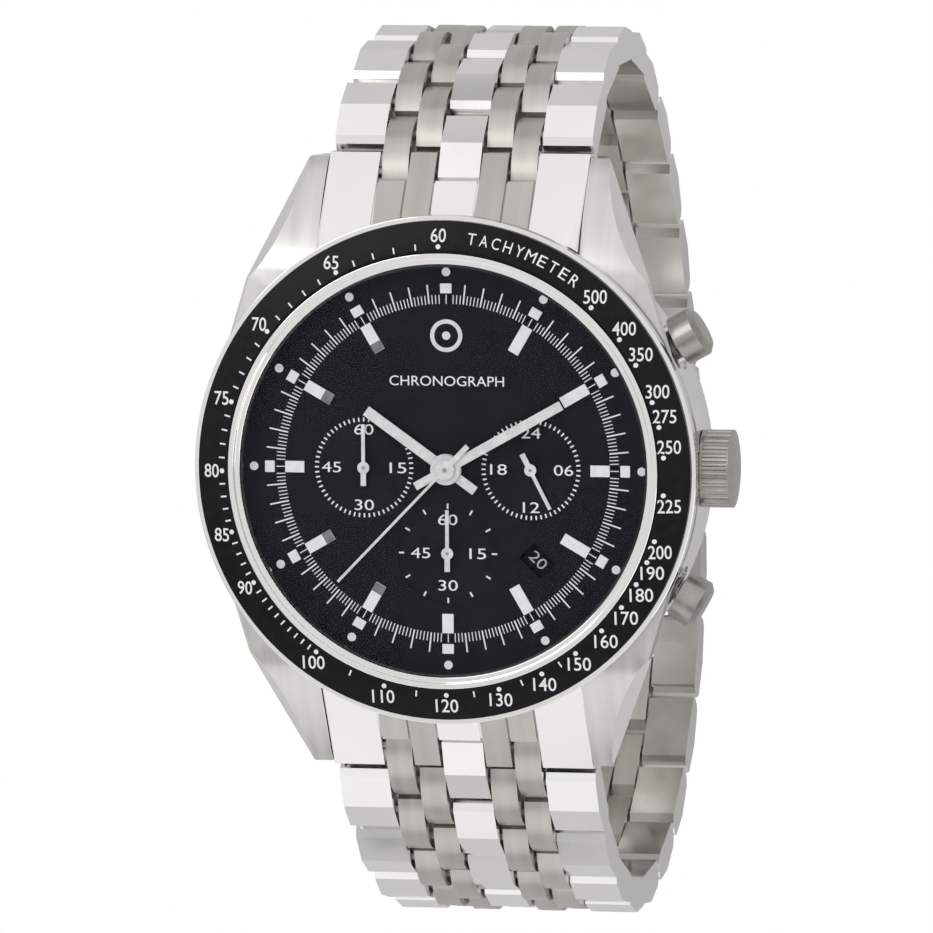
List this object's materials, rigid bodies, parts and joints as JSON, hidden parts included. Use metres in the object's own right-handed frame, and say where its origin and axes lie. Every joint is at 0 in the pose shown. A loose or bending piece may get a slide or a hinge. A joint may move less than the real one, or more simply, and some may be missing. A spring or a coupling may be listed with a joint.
{
  "type": "chronograph wristwatch",
  "caption": "Steel chronograph wristwatch with a black dial, three sub-dials, tachymeter ring, two pushers and a seven-column link bracelet.",
  "frame": {"origin": "centre of the caseback's outer face", "axes": "+Z out of the dial, +Y to 12 o'clock, +X to 3 o'clock and the crown"},
  "size_m": [0.0447, 0.0762, 0.0682],
  "materials": {
    "steel": "satin",
    "polished_steel": "polished",
    "black_ring": "gloss",
    "glass": "clear",
    "rubber": "matte",
    "dial_black": "satin",
    "white_lacquer": "satin",
    "brass": "satin",
    "board": "matte",
    "copper": "satin",
    "dark_steel": "satin",
    "date_white": "satin"
  },
  "bodies": {
    "head": {"case_middle": "steel", "bezel_ring": "polished_steel", "tachymeter_ring": "black_ring", "crystal": "glass", "gaskets": "rubber", "flange_ring": "black_ring", "caseback": "steel", "case_tubes": "dark_steel", "pusher_spring_upper": "dark_steel", "pusher_spring_lower": "dark_steel", "dial_plate": "dial_black", "hour_markers": "white_lacquer", "main_plate": "brass", "circuit_board": "board", "stepper_coils": "copper", "battery": "steel", "end_link_12": "steel", "end_link_6": "steel", "spring_bars": "dark_steel"},
    "minute": {"minute_hand": "white_lacquer", "cannon_pinion": "brass"},
    "minute_wheel": {"minute_wheel": "brass"},
    "hour": {"hour_hand": "white_lacquer", "hour_wheel": "brass"},
    "hour24_idler": {"hour24_idler": "brass"},
    "hour24": {"hour24_hand": "white_lacquer", "hour24_wheel": "brass"},
    "chrono_seconds": {"chrono_seconds_hand": "white_lacquer"},
    "minute_counter": {"minute_counter_hand": "white_lacquer"},
    "small_seconds": {"small_seconds_hand": "white_lacquer"},
    "date": {"date_disc": "date_white"},
    "setting_lever": {"setting_lever": "dark_steel"},
    "crown": {"crown": "steel", "winding_stem": "dark_steel"},
    "pusher_upper": {"pusher_upper": "steel"},
    "pusher_lower": {"pusher_lower": "steel"},
    "link_12_1": {"link_12_1": "steel"},
    "link_12_2": {"link_12_2": "steel"},
    "link_12_3": {"link_12_3": "steel"},
    "link_12_4": {"link_12_4": "steel"},
    "link_12_5": {"link_12_5": "steel"},
    "link_12_6": {"link_12_6": "steel"},
    "link_12_7": {"link_12_7": "steel"},
    "link_12_8": {"link_12_8": "steel"},
    "link_12_9": {"link_12_9": "steel"},
    "clasp_cover": {"clasp_cover": "steel"},
    "link_6_1": {"link_6_1": "steel"},
    "link_6_2": {"link_6_2": "steel"},
    "link_6_3": {"link_6_3": "steel"},
    "link_6_4": {"link_6_4": "steel"},
    "link_6_5": {"link_6_5": "steel"},
    "link_6_6": {"link_6_6": "steel"},
    "link_6_7": {"link_6_7": "steel"},
    "link_6_8": {"link_6_8": "steel"},
    "link_6_9": {"link_6_9": "steel"},
    "link_6_10": {"link_6_10": "steel"},
    "clasp_blade_outer": {"clasp_blade_outer": "steel"},
    "clasp_blade_inner": {"clasp_blade_inner": "steel"},
    "clasp_button_left": {"clasp_button_left": "polished_steel"},
    "clasp_button_right": {"clasp_button_right": "polished_steel"}
  },
  "joints": [
    {"name": "minute_turn", "type": "hinge", "parent": "head", "child": "minute", "pos_m": [0, 0, 0.006], "axis": [0, 0, 1], "continuous": true},
    {"name": "minute_wheel_turn", "type": "hinge", "parent": "head", "child": "minute_wheel", "pos_m": [0, 0.003, 0.006], "axis": [0, 0, 1], "continuous": true},
    {"name": "hour_turn", "type": "hinge", "parent": "head", "child": "hour", "pos_m": [0, 0, 0.006], "axis": [0, 0, 1], "continuous": true},
    {"name": "hour24_idler_turn", "type": "hinge", "parent": "head", "child": "hour24_idler", "pos_m": [0.00287, 0, 0.006], "axis": [0, 0, 1], "continuous": true},
    {"name": "hour24_turn", "type": "hinge", "parent": "head", "child": "hour24", "pos_m": [0.007, 0, 0.006], "axis": [0, 0, 1], "continuous": true},
    {"name": "chrono_seconds_turn", "type": "hinge", "parent": "head", "child": "chrono_seconds", "pos_m": [0, 0, 0.006], "axis": [0, 0, 1], "continuous": true},
    {"name": "minute_counter_turn", "type": "hinge", "parent": "head", "child": "minute_counter", "pos_m": [-0.007, 0, 0.006], "axis": [0, 0, 1], "continuous": true},
    {"name": "small_seconds_turn", "type": "hinge", "parent": "head", "child": "small_seconds", "pos_m": [0, -0.007, 0.006], "axis": [0, 0, 1], "continuous": true},
    {"name": "date_turn", "type": "hinge", "parent": "head", "child": "date", "pos_m": [0, 0, 0.0074], "axis": [0, 0, 1], "continuous": true},
    {"name": "crown_pull", "type": "slide", "parent": "head", "child": "setting_lever", "axis": [1, 0, 0], "range_m": [0, 0.001]},
    {"name": "crown_turn", "type": "hinge", "parent": "setting_lever", "child": "crown", "pos_m": [0, 0, 0.0046], "axis": [1, 0, 0], "continuous": true},
    {"name": "pusher_upper_press", "type": "slide", "parent": "head", "child": "pusher_upper", "axis": [-0.8746, -0.4848, 0], "range_m": [0, 0.0008], "stiffness_N_per_m": 900, "springref_m": -0.0015, "deforming": ["pusher_spring_upper"]},
    {"name": "pusher_lower_press", "type": "slide", "parent": "head", "child": "pusher_lower", "axis": [-0.8746, 0.4848, 0], "range_m": [0, 0.0008], "stiffness_N_per_m": 900, "springref_m": -0.0015, "deforming": ["pusher_spring_lower"]},
    {"name": "bracelet_12_open", "type": "hinge", "parent": "head", "child": "link_12_1", "pos_m": [0, 0.0238, 0.001], "axis": [1, 0, 0], "range_deg": [0, 39.52]},
    {"name": "link_12_2_turn", "type": "hinge", "parent": "link_12_1", "child": "link_12_2", "pos_m": [0, 0.02673, -0.00142], "axis": [1, 0, 0], "range_deg": [0, 15.52]},
    {"name": "link_12_3_turn", "type": "hinge", "parent": "link_12_2", "child": "link_12_3", "pos_m": [0, 0.03107, -0.00762], "axis": [1, 0, 0], "range_deg": [0, 19.94]},
    {"name": "link_12_4_turn", "type": "hinge", "parent": "link_12_3", "child": "link_12_4", "pos_m": [0, 0.03304, -0.01493], "axis": [1, 0, 0], "range_deg": [0, 18.42]},
    {"name": "link_12_5_turn", "type": "hinge", "parent": "link_12_4", "child": "link_12_5", "pos_m": [0, 0.0326, -0.0225], "axis": [1, 0, 0], "range_deg": [0, 16.34]},
    {"name": "link_12_6_turn", "type": "hinge", "parent": "link_12_5", "child": "link_12_6", "pos_m": [0, 0.03005, -0.02964], "axis": [1, 0, 0], "range_deg": [0, 13.89]},
    {"name": "link_12_7_turn", "type": "hinge", "parent": "link_12_6", "child": "link_12_7", "pos_m": [0, 0.02586, -0.03597], "axis": [1, 0, 0], "range_deg": [0, 11.31]},
    {"name": "link_12_8_turn", "type": "hinge", "parent": "link_12_7", "child": "link_12_8", "pos_m": [0, 0.02051, -0.04135], "axis": [1, 0, 0], "range_deg": [0, 8.86]},
    {"name": "link_12_9_turn", "type": "hinge", "parent": "link_12_8", "child": "link_12_9", "pos_m": [0, 0.01439, -0.04585], "axis": [1, 0, 0], "range_deg": [0, 9.4]},
    {"name": "clasp_cover_turn", "type": "hinge", "parent": "link_12_9", "child": "clasp_cover", "pos_m": [0, 0.00086, -0.05274], "axis": [1, 0, 0], "range_deg": [0, 12.13]},
    {"name": "bracelet_6_open", "type": "hinge", "parent": "head", "child": "link_6_1", "pos_m": [0, -0.0238, 0.001], "axis": [-1, 0, 0], "range_deg": [0, 34.18]},
    {"name": "link_6_2_turn", "type": "hinge", "parent": "link_6_1", "child": "link_6_2", "pos_m": [0, -0.02694, -0.00113], "axis": [-1, 0, 0], "range_deg": [0, 9.88]},
    {"name": "link_6_3_turn", "type": "hinge", "parent": "link_6_2", "child": "link_6_3", "pos_m": [0, -0.0324, -0.00641], "axis": [-1, 0, 0], "range_deg": [0, 13.27]},
    {"name": "link_6_4_turn", "type": "hinge", "parent": "link_6_3", "child": "link_6_4", "pos_m": [0, -0.0365, -0.01279], "axis": [-1, 0, 0], "range_deg": [0, 13.49]},
    {"name": "link_6_5_turn", "type": "hinge", "parent": "link_6_4", "child": "link_6_5", "pos_m": [0, -0.039, -0.01996], "axis": [-1, 0, 0], "range_deg": [0, 13.81]},
    {"name": "link_6_6_turn", "type": "hinge", "parent": "link_6_5", "child": "link_6_6", "pos_m": [0, -0.03972, -0.02751], "axis": [-1, 0, 0], "range_deg": [0, 14.19]},
    {"name": "link_6_7_turn", "type": "hinge", "parent": "link_6_6", "child": "link_6_7", "pos_m": [0, -0.03857, -0.035], "axis": [-1, 0, 0], "range_deg": [0, 14.61]},
    {"name": "link_6_8_turn", "type": "hinge", "parent": "link_6_7", "child": "link_6_8", "pos_m": [0, -0.03557, -0.04197], "axis": [-1, 0, 0], "range_deg": [0, 15.04]},
    {"name": "link_6_9_turn", "type": "hinge", "parent": "link_6_8", "child": "link_6_9", "pos_m": [0, -0.03087, -0.04792], "axis": [-1, 0, 0], "range_deg": [0, 15.44]},
    {"name": "link_6_10_turn", "type": "hinge", "parent": "link_6_9", "child": "link_6_10", "pos_m": [0, -0.02476, -0.0524], "axis": [-1, 0, 0], "range_deg": [0, 23.81]},
    {"name": "clasp_open", "type": "hinge", "parent": "clasp_cover", "child": "clasp_blade_outer", "pos_m": [0, -0.01, -0.05309], "axis": [1, 0, 0], "range_deg": [0, 100]},
    {"name": "clasp_inner_turn", "type": "hinge", "parent": "clasp_blade_outer", "child": "clasp_blade_inner", "pos_m": [0, -0.00015, -0.05047], "axis": [-1, 0, 0], "range_deg": [0, 110.5]},
    {"name": "clasp_button_left_press", "type": "slide", "parent": "clasp_cover", "child": "clasp_button_left", "axis": [1, 0, 0], "range_m": [0, 0.0005], "stiffness_N_per_m": 800, "springref_m": -0.0015},
    {"name": "clasp_button_right_press", "type": "slide", "parent": "clasp_cover", "child": "clasp_button_right", "axis": [-1, 0, 0], "range_m": [0, 0.0005], "stiffness_N_per_m": 800, "springref_m": -0.0015}
  ],
  "couplings": [
    {"joint": "minute_wheel_turn", "follows": "minute_turn", "ratio": -0.33333},
    {"joint": "hour_turn", "follows": "minute_turn", "ratio": 0.083333},
    {"joint": "hour24_idler_turn", "follows": "minute_turn", "ratio": -0.064103},
    {"joint": "hour24_turn", "follows": "minute_turn", "ratio": 0.041667},
    {"joint": "minute_counter_turn", "follows": "chrono_seconds_turn", "ratio": 0.016667},
    {"joint": "link_12_2_turn", "follows": "bracelet_12_open", "ratio": 0.39216},
    {"joint": "link_12_3_turn", "follows": "bracelet_12_open", "ratio": 0.50401},
    {"joint": "link_12_4_turn", "follows": "bracelet_12_open", "ratio": 0.46569},
    {"joint": "link_12_5_turn", "follows": "bracelet_12_open", "ratio": 0.41295},
    {"joint": "link_12_6_turn", "follows": "bracelet_12_open", "ratio": 0.35095},
    {"joint": "link_12_7_turn", "follows": "bracelet_12_open", "ratio": 0.28575},
    {"joint": "link_12_8_turn", "follows": "bracelet_12_open", "ratio": 0.22375},
    {"joint": "link_12_9_turn", "follows": "bracelet_12_open", "ratio": 0.23735},
    {"joint": "clasp_cover_turn", "follows": "bracelet_12_open", "ratio": 0.30636},
    {"joint": "link_6_2_turn", "follows": "bracelet_6_open", "ratio": 0.28838},
    {"joint": "link_6_3_turn", "follows": "bracelet_6_open", "ratio": 0.38768},
    {"joint": "link_6_4_turn", "follows": "bracelet_6_open", "ratio": 0.39421},
    {"joint": "link_6_5_turn", "follows": "bracelet_6_open", "ratio": 0.40338},
    {"joint": "link_6_6_turn", "follows": "bracelet_6_open", "ratio": 0.41453},
    {"joint": "link_6_7_turn", "follows": "bracelet_6_open", "ratio": 0.42683},
    {"joint": "link_6_8_turn", "follows": "bracelet_6_open", "ratio": 0.43935},
    {"joint": "link_6_9_turn", "follows": "bracelet_6_open", "ratio": 0.45119},
    {"joint": "link_6_10_turn", "follows": "bracelet_6_open", "ratio": 0.69612},
    {"joint": "clasp_inner_turn", "follows": "clasp_open", "ratio": 1.1}
  ]
}
